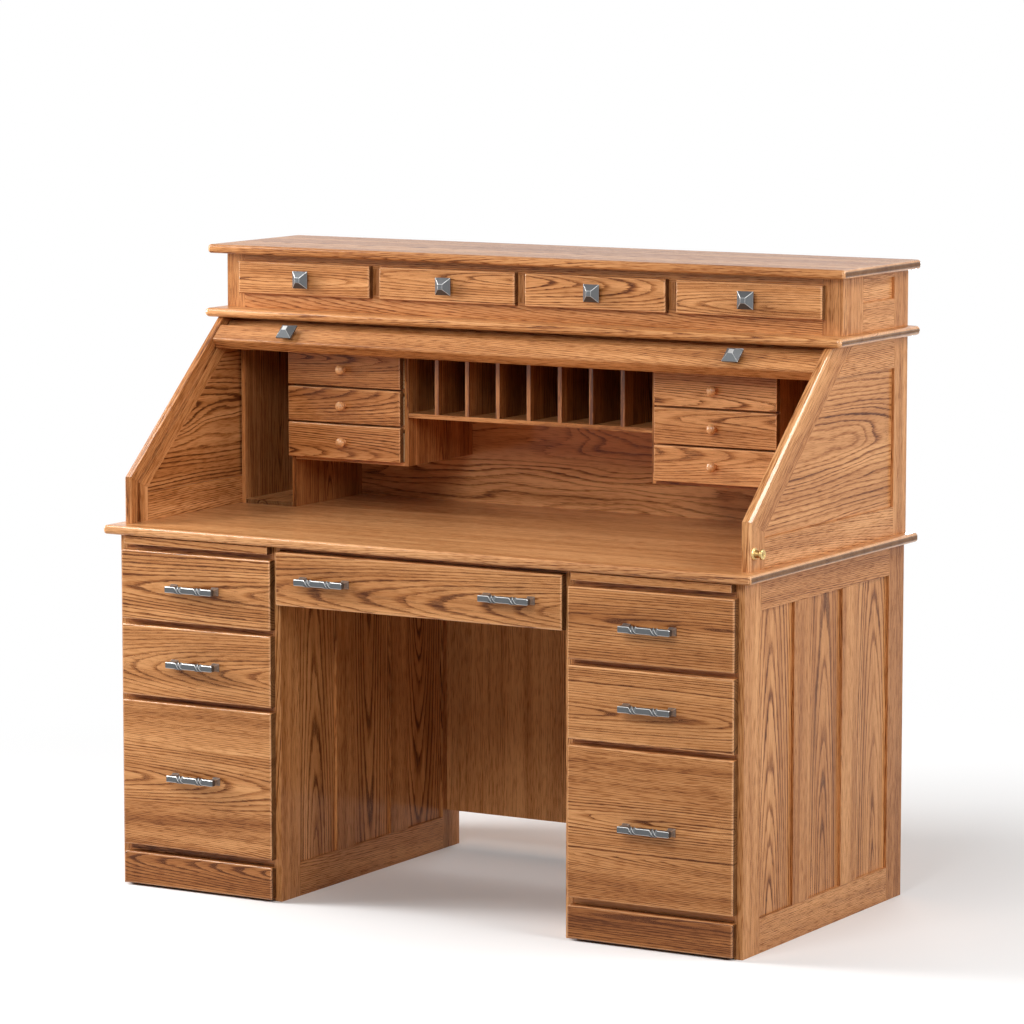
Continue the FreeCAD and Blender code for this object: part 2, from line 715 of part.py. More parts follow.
def push_lock():
    """A brass rosette on the right sloped side, with a plunger that bolts the lead rail."""
    face = f"({SIDE_OUT} + rosette_thick)"
    disc = lock_cylinder("rosette_disc", "rosette_radius", SIDE_OUT, face)
    node("lock_rosette", cut("rosette", disc, lock_cylinder("rosette_bore", SLEEVE_BORE, SIDE_OUT, face)))
    neck = f"({face} + bolt_travel + run_gap)"
    shoulder = f"({SIDE_IN} + track_depth + bolt_travel + run_gap)"
    bolt = lock_cylinder("lock_bolt", "bolt_radius", f"{SIDE_IN} + run_gap", neck)
    sleeve = lock_cylinder("lock_sleeve", "sleeve_radius", shoulder, neck)
    head = lock_cylinder("lock_head", "lock_head_radius", neck, f"{neck} + lock_head_thick")
    node("lock_plunger", fused("plunger", [bolt, sleeve, head]))


BANK_OUT = f"({SIDE_IN} - thin_board - cubby_width)"
BANK_FAR = f"({BANK_OUT} - thin_board)"
BANK_NEAR = f"({BANK_FAR} - bank_width)"
WALL_IN = f"({BANK_NEAR} - thin_board)"
SLOTS_EACH_SIDE = 4
SLOT_PITCH = f"(({BANK_NEAR} - thin_board / 2) / {SLOTS_EACH_SIDE})"
BANK_LOW = "(desk_height + bank_lift)"
SLOT_LOW = "(desk_height + slot_lift)"
UNIT_TOP = f"({BANK_LOW} + 3 * bank_pitch)"
UNIT_Y = ("pigeon_place", UPPER_BACK)


def pigeonholes():
    uprights, shelves, dividers = [], [], []
    for word, side in SIDES.items():
        wall_z = (BANK_LOW, UNIT_TOP)
        tall_z = ("desk_height", UNIT_TOP)
        end_x = across(side, f"{SIDE_IN} - thin_board", SIDE_IN)
        uprights.append(board(f"{word}_slot_wall", across(side, WALL_IN, BANK_NEAR), UNIT_Y, wall_z))
        uprights.append(board(f"{word}_bank_wall", across(side, BANK_FAR, BANK_OUT), UNIT_Y, tall_z))
        uprights.append(board(f"{word}_unit_end", end_x, UNIT_Y, tall_z))
        for k in range(3):
            z = f"({BANK_LOW} + {k} * bank_pitch)"
            x = across(side, BANK_NEAR, BANK_FAR)
            shelves.append(board(f"{word}_bank_shelf", x, UNIT_Y, (z, f"{z} + thin_board")))
        cubby_x = across(side, BANK_OUT, f"{SIDE_IN} - thin_board")
        cubby_z = ("desk_height", "desk_height + thin_board")
        shelves.append(board(f"{word}_cubby_floor", cubby_x, UNIT_Y, cubby_z))
    slot_z = (SLOT_LOW, f"{SLOT_LOW} + thin_board")
    shelves.append(board("slot_shelf", (f"-{WALL_IN}", WALL_IN), UNIT_Y, slot_z))
    top_z = (UNIT_TOP, f"{UNIT_TOP} + thin_board")
    shelves.append(board("unit_top", (f"-({SIDE_IN})", SIDE_IN), UNIT_Y, top_z))
    for k in range(1 - SLOTS_EACH_SIDE, SLOTS_EACH_SIDE):
        x = (f"{k} * {SLOT_PITCH} - thin_board / 2", f"{k} * {SLOT_PITCH} + thin_board / 2")
        dividers.append(board("letter_divider", x, UNIT_Y, (slot_z[1], UNIT_TOP)))
    node("pigeonhole_uprights", *uprights)
    node("pigeonhole_shelves", *shelves)
    node("letter_dividers", *dividers)


def turned_knob(name):
    """A small round wooden knob on a neck, drawn upright on its seat and then placed."""
    neck = doc.addObject("Part::Cylinder", f"{name}_neck")
    bind(neck, "Radius", "turned_neck")
    bind(neck, "Height", "turned_reach")
    ball = doc.addObject("Part::Sphere", f"{name}_ball")
    bind(ball, "Radius", "turned_radius")
    bind(ball, "Placement.Base.z", "turned_reach")
    return fused(name, [neck, ball])


def pigeonhole_drawers():
    face_y = ("pigeon_place - pigeon_front_thick", "pigeon_place")
    box_y = ("pigeon_place", f"{UPPER_BACK} - pigeon_back_gap")
    for word, side in SIDES.items():
        face_x = across(side, f"{BANK_NEAR} + pigeon_reveal", BANK_OUT)
        box_x = across(side, f"{BANK_NEAR} + side_gap", f"{BANK_FAR} - side_gap")
        for number in range(1, 4):
            shelf = f"({BANK_LOW} + {3 - number} * bank_pitch + thin_board)"
            low = f"({shelf} - pigeon_front_drop)"
            name = f"{word}_pigeonhole_drawer_{number}"
            face_z = (low, f"{low} + pigeon_front")
            face = eased_board(f"{name}_face", face_x, face_y, face_z, "pigeon_round")
            box_z = (f"{shelf} + run_gap", f"{shelf} + bank_pitch - thin_board - drawer_headroom")
            box = drawer_box(name, box_x, box_y, box_z, "pigeon_wall", "pigeon_bottom")
            knob = turned_knob(f"{name}_knob")
            middle = f"({face_x[0]} + {face_x[1]}) / 2"
            place(knob, middle, f"({face_y[0]})", f"{low} + pigeon_front / 2", X_AXIS, QUARTER)
            node(name, face, *box, knob)


HUTCH_IN = "(hutch_place + frame_thick)"
HUTCH_BACK = "(case_depth - back_thick)"
OPENING_LOW = f"({LEDGE_TOP} + hutch_low_rail)"
OPENING_HIGH = f"({HUTCH_TOP} - hutch_top_rail)"
DECK_TOP = f"({OPENING_LOW} - run_gap)"


def ledge_and_hutch():
    slab_x = (f"-{HALF}", HALF)
    back = "case_depth + back_lip"
    ledge_z = (LEDGE_LOW, LEDGE_TOP)
    ledge_y = ("ledge_place", back)
    node("ledge", eased_board("ledge_slab", slab_x, ledge_y, ledge_z, "ledge_round", on_front_and_ends))
    sides = []
    for word, side in SIDES.items():
        x = across(side, SIDE_IN, SIDE_OUT)
        front_end = f"({HUTCH_IN} + hutch_stile)"
        rear_start = "(case_depth - hutch_rear_stile)"
        low, high = f"({LEDGE_TOP} + hutch_side_low)", f"({HUTCH_TOP} - hutch_side_top)"
        middle = (front_end, rear_start)
        face = f"({SIDE_OUT} - panel_recess)"
        panel_x = across(side, f"{face} - panel_thick", face)
        sides += [
            board(f"{word}_hutch_stile", x, (HUTCH_IN, front_end), (LEDGE_TOP, HUTCH_TOP)),
            board(f"{word}_hutch_rear", x, (rear_start, "case_depth"), (LEDGE_TOP, HUTCH_TOP)),
            board(f"{word}_hutch_low", x, middle, (LEDGE_TOP, low)),
            board(f"{word}_hutch_high", x, middle, (high, HUTCH_TOP)),
            board(f"{word}_hutch_panel", panel_x, middle, (low, high)),
        ]
    node("hutch_sides", *sides)
    face_y = ("hutch_place", HUTCH_IN)
    rail_x = (f"-{HUTCH_REACH}", HUTCH_REACH)
    frame = [
        board("hutch_low_rail_board", rail_x, face_y, (LEDGE_TOP, OPENING_LOW)),
        board("hutch_top_rail_board", rail_x, face_y, (OPENING_HIGH, HUTCH_TOP)),
    ]
    for side in SIDES.values():
        stile_x = across(side, HUTCH_REACH, SIDE_OUT)
        frame.append(board("hutch_end_board", stile_x, face_y, (LEDGE_TOP, HUTCH_TOP)))
    dividers = []
    deck_x = (f"-({SIDE_IN})", SIDE_IN)
    deck_z = (f"{DECK_TOP} - hutch_deck", DECK_TOP)
    dividers.append(board("hutch_deck_board", deck_x, (HUTCH_IN, HUTCH_BACK), deck_z))
    for k in HUTCH_SPLITS:
        middle = f"{k} * {HUTCH_PITCH}"
        x = (f"{middle} - hutch_mullion / 2", f"{middle} + hutch_mullion / 2")
        frame.append(board("hutch_mullion_board", x, face_y, (OPENING_LOW, OPENING_HIGH)))
        x = (f"{middle} - hutch_partition / 2", f"{middle} + hutch_partition / 2")
        dividers.append(board("hutch_partition_board", x, (HUTCH_IN, HUTCH_BACK), (DECK_TOP, HUTCH_TOP)))
    node("hutch_face_frame", *frame)
    node("hutch_dividers", *dividers)
    hutch_back = board("hutch_back_board", deck_x, (HUTCH_BACK, "case_depth"), (LEDGE_TOP, HUTCH_TOP))
    node("hutch_back", hutch_back)
    top_z = (HUTCH_TOP, f"{HUTCH_TOP} + hutch_top_thick")
    top_y = ("hutch_top_place", back)
    node("hutch_top", eased_board("hutch_slab", slab_x, top_y, top_z, "top_round", on_front_and_ends))


def hutch_drawers():
    face_y = ("hutch_place - hutch_front_thick", "hutch_place")
    face_z = (f"{OPENING_LOW} - hutch_overlay", f"{OPENING_HIGH} + hutch_overlay")
    box_y = ("hutch_place", f"{HUTCH_BACK} - hutch_back_gap")
    box_z = (OPENING_LOW, f"{OPENING_HIGH} - drawer_headroom")
    for number, k in enumerate(HUTCH_ROW, start=1):
        middle = f"({k} * {HUTCH_PITCH})"
        reach = f"{HUTCH_OPENING} / 2"
        face_x = (f"{middle} - {reach} - hutch_overlay", f"{middle} + {reach} + hutch_overlay")
        box_x = (f"{middle} - {reach} + side_gap", f"{middle} + {reach} - side_gap")
        name = f"hutch_drawer_{number}"
        face = eased_board(f"{name}_face", face_x, face_y, face_z, "front_round")
        node(name, face, *drawer_box(name, box_x, box_y, box_z, "drawer_wall", "drawer_bottom"))
        knob = pyramid_knob(f"hutch_point_{number}")
        place(knob, middle, f"({face_y[0]})", f"({face_z[0]} + {face_z[1]}) / 2", X_AXIS, QUARTER)
        node(f"hutch_knob_{number}", knob)


desk_top()
pedestal_sides()
web_frames()
pedestal_shells()
pedestal_drawers()
writing_boards()
centre_drawer()
sloped_sides()
lead_rail()
curtain()
push_lock()
pigeonholes()
pigeonhole_drawers()
ledge_and_hutch()
hutch_drawers()
doc.recompute()

for item in doc.Objects:
    if {"Invalid", "Error"} & set(item.State):
        raise RuntimeError(f"{item.Label} failed: {item.State}")
for item in nodes:
    if item.Shape.isNull() or not item.Shape.isValid():
        raise RuntimeError(f"{item.Label} has no valid shape")

os.makedirs("parts", exist_ok=True)
for item in nodes:
    item.Shape.exportStep(f"parts/{item.Label}.step")
print(len(nodes), "sub-parts written")
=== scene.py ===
# %% [markdown]
# # A roll-top desk in golden oak
# The desk has two drawer pedestals, a writing top, sloped sides that carry a slatted roll front,
# a pigeonhole unit and a row of small drawers on top. Its sizes and its joints come from the
# measured frame, so this lesson only dresses it: eased board edges, wood grain, metal, cloth,
# light and a camera. The frame loads first, because every piece takes its place from it.

# %% Load the measured frame
import json
import math
import random
from collections import Counter
import bmesh
import bpy
from mathutils import Matrix, Vector


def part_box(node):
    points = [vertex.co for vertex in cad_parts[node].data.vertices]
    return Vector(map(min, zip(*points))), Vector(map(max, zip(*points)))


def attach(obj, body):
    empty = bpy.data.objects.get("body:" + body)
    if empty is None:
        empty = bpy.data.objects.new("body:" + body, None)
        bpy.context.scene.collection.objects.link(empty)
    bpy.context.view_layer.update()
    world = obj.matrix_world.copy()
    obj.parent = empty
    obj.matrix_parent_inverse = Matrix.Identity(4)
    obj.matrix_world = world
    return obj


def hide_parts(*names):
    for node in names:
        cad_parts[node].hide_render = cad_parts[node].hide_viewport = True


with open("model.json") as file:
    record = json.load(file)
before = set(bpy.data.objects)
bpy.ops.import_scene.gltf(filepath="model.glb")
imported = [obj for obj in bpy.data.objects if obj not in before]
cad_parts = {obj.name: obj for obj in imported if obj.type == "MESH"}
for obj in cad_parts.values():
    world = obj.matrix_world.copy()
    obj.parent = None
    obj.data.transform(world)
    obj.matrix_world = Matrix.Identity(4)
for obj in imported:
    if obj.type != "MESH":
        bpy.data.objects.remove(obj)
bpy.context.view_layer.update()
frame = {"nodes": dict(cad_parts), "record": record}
carriers = {}
for body, names in frame["record"]["behaviour"]["bodies"].items():
    for name in names:
        carriers[name] = body

# %% [markdown]
# ## Shader sums in plain Python
# A node tree is a sum written as boxes and lines. It is quicker to read as a sum, so this class
# holds one output socket and answers to plus, minus, times and divide. Each sign adds one Math
# node. Colours and vectors have nodes of their own, and `node` adds any other kind.


# %% A socket that can be added and multiplied
class Wire:
    """One output socket of a node tree, used like a number."""

    def __init__(self, tree, socket=None):
        self.tree = tree
        self.socket = socket

    def node(self, kind, settings=None, inputs=None, out=0):
        made = self.tree.nodes.new("ShaderNode" + kind)
        for key, value in (settings or {}).items():
            if key == "stops":
                self.set_stops(made.color_ramp, value)
            else:
                setattr(made, key, value)
        for key, value in (inputs or {}).items():
            if isinstance(value, Wire):
                self.tree.links.new(value.socket, made.inputs[key])
            else:
                made.inputs[key].default_value = value
        return Wire(self.tree, made.outputs[out] if made.outputs else None)

    def set_stops(self, ramp, stops):
        while len(ramp.elements) < len(stops):
            ramp.elements.new(1.0)
        for element, (place, colour) in zip(ramp.elements, stops):
            element.position = place
            element.color = (*colour, 1)

    def math(self, operation, first, second=0.0):
        return self.node("Math", {"operation": operation}, {0: first, 1: second})

    def __add__(self, other):
        return self.math("ADD", self, other)

    def __radd__(self, other):
        return self.math("ADD", other, self)

    def __sub__(self, other):
        return self.math("SUBTRACT", self, other)

    def __rsub__(self, other):
        return self.math("SUBTRACT", other, self)

    def __mul__(self, other):
        return self.math("MULTIPLY", self, other)

    def __truediv__(self, other):
        return self.math("DIVIDE", self, other)

    def vector(self, x, y, z):
        return self.node("CombineXYZ", None, {0: x, 1: y, 2: z})

    def parts(self):
        split = self.node("SeparateXYZ", None, {0: self})
        return [Wire(self.tree, end) for end in split.socket.node.outputs]

    def attribute(self, name, out="Vector"):
        return self.node("Attribute", {"attribute_name": name}, None, out)

    def noise(self, x, y, z, detail=2.0):
        place = self.vector(x, y, z)
        return self.node("TexNoise", None, {"Vector": place, "Scale": 1.0, "Detail": detail})

    def rise(self, low, high):
        steps = {0: self, 1: low, 2: high, 3: 0.0, 4: 1.0}
        return self.node("MapRange", {"interpolation_type": "SMOOTHSTEP"}, steps)

    def blend(self, first, second):
        mix = {"data_type": "RGBA"}
        return self.node("Mix", mix, {0: self, 6: first, 7: second}, out=2)


print("shader sums ready")

# %% [markdown]
# ## A finish is a material with one shader
# Every finish on the desk ends in the same Principled shader. Numbers that are the same all over
# go straight on its sockets, and only what changes over the surface is linked.


# %% Start a finish, and close it
def empty_tree(owner):
    """The node tree of a material or a world, cleared and ready for sums."""
    owner.use_nodes = True
    owner.node_tree.nodes.clear()
    return Wire(owner.node_tree)


def socket_name(word):
    return word.replace("_", " ").title().replace("Ior", "IOR")


def start_finish(name, **steady):
    finish = bpy.data.materials.new(name)
    wire = empty_tree(finish)
    sockets = {socket_name(word): value for word, value in steady.items()}
    shader = wire.node("BsdfPrincipled", None, sockets)
    wire.node("OutputMaterial", None, {"Surface": shader})
    return finish, wire, shader.socket.node


def link_finish(wire, shader, **changing):
    for word, value in changing.items():
        wire.tree.links.new(value.socket, shader.inputs[socket_name(word)])


def relief(wire, height, strength, depth):
    bump = {"Strength": strength, "Distance": depth, "Height": height}
    return wire.node("Bump", None, bump)


print("finishes can be started")

# %% [markdown]
# ## Golden oak
# Plain-sawn oak shows its growth rings as long arches on the face of a board and as straight
# lines near its edges. A flat picture of wood can't follow a board round its corner, so the rings
# are worked out in the round: each board knows how far a point lies along, across and through it,
# and the ring number is the distance to a tree's core that runs slightly askew under the board,
# divided by the width of one year's growth. Wide panels are glued from strips, so each strip gets
# a core of its own. The dark, open-pored spring wood starts each ring sharply and fades, and the
# pores are short dashes along the grain. Rubbed edges are painted lighter, partly as wear and partly
# as a painted highlight, and carry more of the clear coat, so they can catch a line of light. The
# stain number also holds painted light and shade, which makes some parts lighter or darker.


# %% Oak, cut from a tree worked out in the round
# Where the tree's core lies beside and under a strip, in metres, and how it leans and wanders
CORE_ASIDE = 0.034
RIFT_ASIDE = 0.085
CORE_DEPTH, DEPTH_SPREAD = 0.006, 0.020
CORE_LEAN, LEAN_SPREAD = 0.026, 0.06
WANDER, WILD_WANDER = 0.024, 0.17


def streaks(wire, place, fine_along, fine_across, far, detail=2.0):
    """Noise that is drawn out along the grain."""
    along, across, through = place
    return wire.noise(along * fine_along, across * fine_across, through * fine_across + far, detail)


def rings_of(wire, place, lot):
    """Ring number at a point, how flat its strip was cut, and the strip's tint and noise offset."""
    along, across, through = place
    seed, strip_width, arch = lot
    lane = across / strip_width + 0.5
    strip = wire.math("FLOOR", lane)
    pick = {"Vector": wire.vector(seed * 91.0, strip, 0.0)}
    near, deep, lean = wire.node("TexWhiteNoise", {"noise_dimensions": "2D"}, pick, "Color").parts()
    far = seed * 40.0 + strip * 7.3
    flat_cut = wire.math("MINIMUM", arch, 1.0) / (1 + wire.math("ABSOLUTE", strip) * 4)
    wild = wire.math("MAXIMUM", arch - 1.0, 0.0)
    wander = (streaks(wire, place, 1.9, 9.0, far) - 0.5) * (WANDER + wild * WILD_WANDER)
    aside = (lane - strip - 0.5) * strip_width
    aside = aside + (near - 0.5) * flat_cut * CORE_ASIDE + (1 - flat_cut) * RIFT_ASIDE
    aside = aside * (1 - wild * 0.7)
    below = through + CORE_DEPTH + deep * DEPTH_SPREAD + (CORE_LEAN + lean * LEAN_SPREAD) * along + wander
    reach = wire.math("SQRT", aside * aside + below * below) / wire.attribute("year", "Fac")
    frayed = streaks(wire, place, 30.0, 460.0, far) - 0.5
    uneven = wire.noise(reach * 0.45, far, 0.0, 1.0)
    rings = reach * (2 - flat_cut) + uneven * 1.8 + frayed * 0.46
    return rings, flat_cut - wild * 0.5, near, far


def oak(name, stops, polish):
    finish, wire, shader = start_finish(name, coat_roughness=0.11, ior=1.22)
    place = wire.attribute("grain").parts()
    lot = wire.attribute("lot").parts()
    rings, flat_cut, tint, far = rings_of(wire, place, lot)
    phase = wire.math("FRACT", rings)
    spring = wire.math("MAXIMUM", 1 - phase.rise(0.03, 0.42), phase.rise(0.9, 1.0))
    this_year = {"W": wire.math("FLOOR", rings) + far}
    year = wire.node("TexWhiteNoise", {"noise_dimensions": "1D"}, this_year)
    spring = spring * (0.28 + year * 0.80) * (0.62 + flat_cut * 0.38)
    dashes = streaks(wire, place, 34.0, 520.0, far, 1.0).rise(0.46, 0.70)
    pores = dashes * (0.75 - flat_cut * 0.35 + spring * 0.5)
    cloud = streaks(wire, place, 1.6, 36.0, far) - 0.5
    rubbed = wire.attribute("rubbed", "Fac")
    # Lightness of the wood. The stain number holds real stain and also painted light and shade, and
    # rubbed edges are painted lighter as wear and as a painted highlight.
    light = 0.99 + wire.attribute("stain", "Fac") + (tint - 0.5) * 0.2 + cloud * 1.2
    light = light - spring * 1.06 - pores * 0.56 + rubbed * 0.30
    colour = wire.node("ValToRGB", {"stops": stops}, {"Fac": light * 0.77})
    rough = 0.36 + pores * 0.2 + spring * 0.08
    lie = relief(wire, 0.0 - spring * 0.5 - pores, 0.22, 0.0003)
    coat = polish + rubbed * (0.9 - polish)
    link_finish(wire, shader, base_color=colour, roughness=rough, coat_weight=coat, normal=lie)
    return finish


golden = [(0.0, (0.105, 0.028, 0.006)), (0.25, (0.27, 0.088, 0.022)), (0.48, (0.44, 0.171, 0.051)),
          (0.77, (0.64, 0.298, 0.113)), (1.0, (0.80, 0.410, 0.175))]
ends = [(place, tuple(0.32 * value for value in colour)) for place, colour in golden]
plain = [(0.0, (0.30, 0.17, 0.075)), (0.31, (0.50, 0.32, 0.16)),
         (0.54, (0.60, 0.41, 0.22)), (0.77, (0.68, 0.49, 0.29))]
golden_oak = oak("golden_oak", golden, 0.22)
polished_oak = oak("golden_oak_polished", golden, 0.55)
oak_ends = oak("golden_oak_end_grain", ends, 0.15)
box_wood = oak("drawer_box_wood", plain, 0.05)
print("wood finishes:", golden_oak.name, polished_oak.name, oak_ends.name, box_wood.name)

# %% [markdown]
# ## Boards out of the frame
# The frame's meshes are exact but razor sharp, and a node such as a pedestal frame holds many
# boards in one mesh. Its triangles come board by board, so a board is complete when every edge
# has met the same edge run the other way. Each board is then welded, its flat faces are joined
# up, and its sharp edges are eased by the width that a sanding block would leave. Wider roundings
# are marked as rubbed, and so are the small slanted faces that a board brings from the frame; the
# finish paints these lighter, as wear and as a painted highlight.

# %% Take a node apart into its boards
# Lengths in metres, areas in square metres, angles in radians
EASED = 0.0009
FLAT_ANGLE = 0.009
SHARP_ANGLE = 0.87
SMALL_FACE = 0.0009


def boards_of(node):
    """The faces of a node's solids, each face as a ring of corners."""
    mesh = frame["nodes"][node].data
    corners = [tuple(round(value, 6) for value in vertex.co) for vertex in mesh.vertices]
    boards, faces, loose, unmet = [], [], Counter(), 0
    for polygon in mesh.polygons:
        ring = [corners[index] for index in polygon.vertices]
        faces.append(ring)
        for edge in zip(ring, ring[1:] + ring[:1]):
            if loose[edge[::-1]]:
                loose[edge[::-1]] -= 1
                unmet -= 1
            elif edge[0] != edge[1]:
                loose[edge] += 1
                unmet += 1
        if not unmet:
            boards.append(faces)
            faces = []
    return boards


def outer_corners(board, outward):
    """Long edges between the face that looks outward (-1 left, 1 right) and the front or sloped one."""
    chosen = []
    for edge in board.edges:
        facing = [face.normal for face in edge.link_faces]
        front = min(facing, key=lambda way: way.y)
        outer = max(way.x * outward for way in facing) > 0.9
        if outer and front.y < -0.3 and front.z > -0.3 and edge.calc_length() > 0.03:
            chosen.append(edge)
    return chosen


def round_over(board, edges, width, steps, rubbed):
    made = bmesh.ops.bevel(board, geom=edges, offset=width, offset_type="OFFSET", segments=steps,
                           profile=0.5, affect="EDGES", clamp_overlap=True)
    for face in made["faces"]:
        # Wider roundings are marked, and the finish paints them lighter as wear and as a painted
        # highlight.
        face[rubbed] = float(width > EASED)


def eased(faces, width, chamfer=None):
    """One board with its edges eased by a width, and its outer corners cut first where asked."""
    board = bmesh.new()
    spots = {}
    for ring in faces:
        for point in ring:
            if point not in spots:
                spots[point] = board.verts.new(point)
        if len(set(ring)) > 2:
            board.faces.new([spots[point] for point in ring])
    board.normal_update()
    bmesh.ops.dissolve_limit(board, angle_limit=FLAT_ANGLE, verts=board.verts, edges=board.edges)
    rubbed = board.faces.layers.float.new("rubbed")
    for face in board.faces:
        # Small slanted faces from the frame are marked too, so they get the same painted highlight.
        askew = max(abs(value) for value in face.normal) < 0.985
        face[rubbed] = float(askew and face.calc_area() < SMALL_FACE)
    if chamfer:
        outward, cut = chamfer
        round_over(board, outer_corners(board, outward), cut, 1, rubbed)
    sharp = [edge for edge in board.edges if edge.calc_face_angle(0) > SHARP_ANGLE]
    round_over(board, sharp, width, 2, rubbed)
    return board


print("boards in the left pedestal's frame:", len(boards_of("left_pedestal_frame")))

# %% [markdown]
# ## Which way the grain runs
# A joiner runs the grain along a board's length, and so does this helper: it boxes the board in
# level axes and in the slope's axes, keeps the tighter box, and calls its longest side the grain.
# A few boards are cut the other way and say so. Narrow boards are mostly straight-grained, and wide
# ones are sawn flat and show arches.


# %% Find a board's grain
SLOPE = Matrix.Rotation(math.radians(41.5), 3, "X")
FLAT_SAWN_WIDTH = 0.085
WIDE_BOARD = 0.16


def grain_frame(board, along):
    """The board's box as (length, middle, axis) for its grain, its width and its thickness."""
    best = None
    for axes in (Matrix.Identity(3), SLOPE):
        spread = []
        for column in axes.col:
            reach = [vertex.co.dot(column) for vertex in board.verts]
            spread.append((max(reach) - min(reach), (max(reach) + min(reach)) / 2, column.copy()))
        volume = spread[0][0] * spread[1][0] * spread[2][0]
        if best is None or volume < best[0] * 0.98:
            best = (volume, spread)
    order = sorted(best[1], key=lambda side: side[0], reverse=True)
    if along:
        order.sort(key=lambda side: abs(getattr(side[2], along)), reverse=True)
        order[1:] = sorted(order[1:], key=lambda side: side[0], reverse=True)
    return order


def sawn(luck, broad, arch, wide):
    """How a board was sawn: near 0 is straight grain, 1 is arches, and more is wild figure."""
    shape = luck.uniform(0.75, 1.0) if broad > FLAT_SAWN_WIDTH else luck.uniform(0.0, 0.35)
    if wide and broad > WIDE_BOARD:
        shape = wide
    return shape if arch is None else arch


print("grain can be found")

# %% [markdown]
# ## One dressed piece for each node
# The finish reads what is stored on the mesh: where a point lies in its board, the board's lot (a
# seed, the width of its glued strips and how it was sawn), its stain, which also holds painted light
# and shade, the width of its years, and which faces are rubbed, which the finish paints lighter as
# wear and as a painted highlight. End faces take the darker end-grain finish, because cut pores
# drink more stain. A dressed piece stands for one node of the frame and rides the same body, so it
# moves when that body's joint moves.

# %% Dress a node
YEAR = 0.0056
ONE_PIECE = 10.0
# How much darker the listed boards are painted, as painted shade.
PAINTED_SHADE_BY = 0.22
SMOOTH_ANGLE = 0.61
SLOPE_EDGE_BOARDS = (0, 3)
shown = []


def store(mesh, name, values, domain="POINT"):
    """Keep one number or one vector for each point or face of a mesh."""
    if isinstance(values[0], tuple):
        layer = mesh.attributes.new(name, "FLOAT_VECTOR", domain)
        layer.data.foreach_set("vector", [number for row in values for number in row])
    else:
        mesh.attributes.new(name, "FLOAT", domain).data.foreach_set("value", values)


def put_in_scene(name, data):
    made = bpy.data.objects.new(name, data)
    bpy.context.scene.collection.objects.link(made)
    return made


def show_piece(mesh, node, body=None):
    mesh.shade_smooth()
    mesh.set_sharp_from_angle(angle=SMOOTH_ANGLE)
    piece = put_in_scene(mesh.name, mesh)
    weigh = piece.modifiers.new("flat_faces", "WEIGHTED_NORMAL")
    weigh.keep_sharp = True
    if node:
        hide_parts(node)
    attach(piece, body or carriers[node])
    shown.append(piece)
    return piece


def lay_boards(node, width=EASED, strip=ONE_PIECE, arch=None, along=None, skip=(), box=(), stain=0.0,
               face=None, wide=None, chamfer=None, lit_fronts=0.0, year=YEAR, shaded_boards=()):
    """One dressed piece for a wooden node: eased boards with their own grain."""
    mesh = bpy.data.meshes.new(node + "_boards")
    grain, lots, stain_and_painted_light_values, points, faces, finishes, wear_and_highlights = [], [], [], [], [], [], []
    for number, solid in enumerate(boards_of(node)):
        if number in skip:
            continue
        luck = random.Random(f"{node} {number}")
        board = eased(solid, width, chamfer if number in SLOPE_EDGE_BOARDS else None)
        sides = grain_frame(board, along)
        flip = [luck.choice((-1, 1)) for side in sides]
        shape = sawn(luck, sides[1][0], arch, wide)
        lot = (luck.uniform(0, 1), strip, shape)
        # A board's stain number holds its stain, a little random tone and the painted light and shade of
        # its node; boards listed as shaded are painted darker still, as shade.
        tint = stain + luck.uniform(-0.06, 0.06) - PAINTED_SHADE_BY * (number in shaded_boards)
        first = len(points)
        for vertex in board.verts:
            row = [turn * (vertex.co.dot(axis) - middle)
                   for turn, (length, middle, axis) in zip(flip, sides)]
            points.append(vertex.co.copy())
            grain.append((row[0] + sides[0][0] / 2, row[1], row[2]))
            lots.append(lot)
            stain_and_painted_light_values.append(tint)
        board.verts.index_update()
        rubbed = board.faces.layers.float["rubbed"]
        for side in board.faces:
            at_end = abs(side.normal.dot(sides[0][2])) > 0.9
            faces.append([first + vertex.index for vertex in side.verts])
            finishes.append(2 if number in box else int(at_end))
            # Marked front faces are painted lighter as well, as painted light.
            wear_and_highlights.append(max(side[rubbed], lit_fronts * (side.normal.y < -0.9)))
        board.free()
    mesh.from_pydata(points, [], faces)
    store(mesh, "grain", grain)
    store(mesh, "lot", lots)
    store(mesh, "stain", stain_and_painted_light_values)
    store(mesh, "year", [year] * len(points))
    store(mesh, "rubbed", wear_and_highlights, "FACE")
    for finish in (face or golden_oak, oak_ends, box_wood):
        mesh.materials.append(finish)
    mesh.polygons.foreach_set("material_index", finishes)
    return show_piece(mesh, node)


print("nodes can be dressed")

# %% [markdown]
# ## The case
# Tops, ledge and hutch top are glued up from strips about four inches wide, which shows as slight
# changes of colour side by side. The frames round the panels are narrow straight-grained pieces.
# No two boards take the stain alike, so each board's tone differs a little at random. Some nodes are
# set lighter or darker than the rest as painted light and shade: lighter on the hutch, ledge, writing
# top, modesty panel and upper back, darker on the base boards, the rear stile, the left slope side
# and inside the pigeonholes. The sloped sides also get a chamfer along their outer front edge, as the
# real ones have.

# %% Dress the case
FINE = 0.0006
TOP_EDGE = 0.0016
BASE_EDGE = 0.0030
CHAMFER = 0.005
GLUE_STRIP = 0.098
# The lighter numbers on the hutch sides, ledge and writing top are painted light, and the pigeonhole
# uprights are painted darker as the shade inside the pigeonholes.
STAIN_AND_PAINTED_LIGHT = {"hutch_face_frame": 0.02, "hutch_sides": 0.18, "ledge": 0.20, "desk_top": 0.14,
           "pigeonhole_uprights": -0.26}
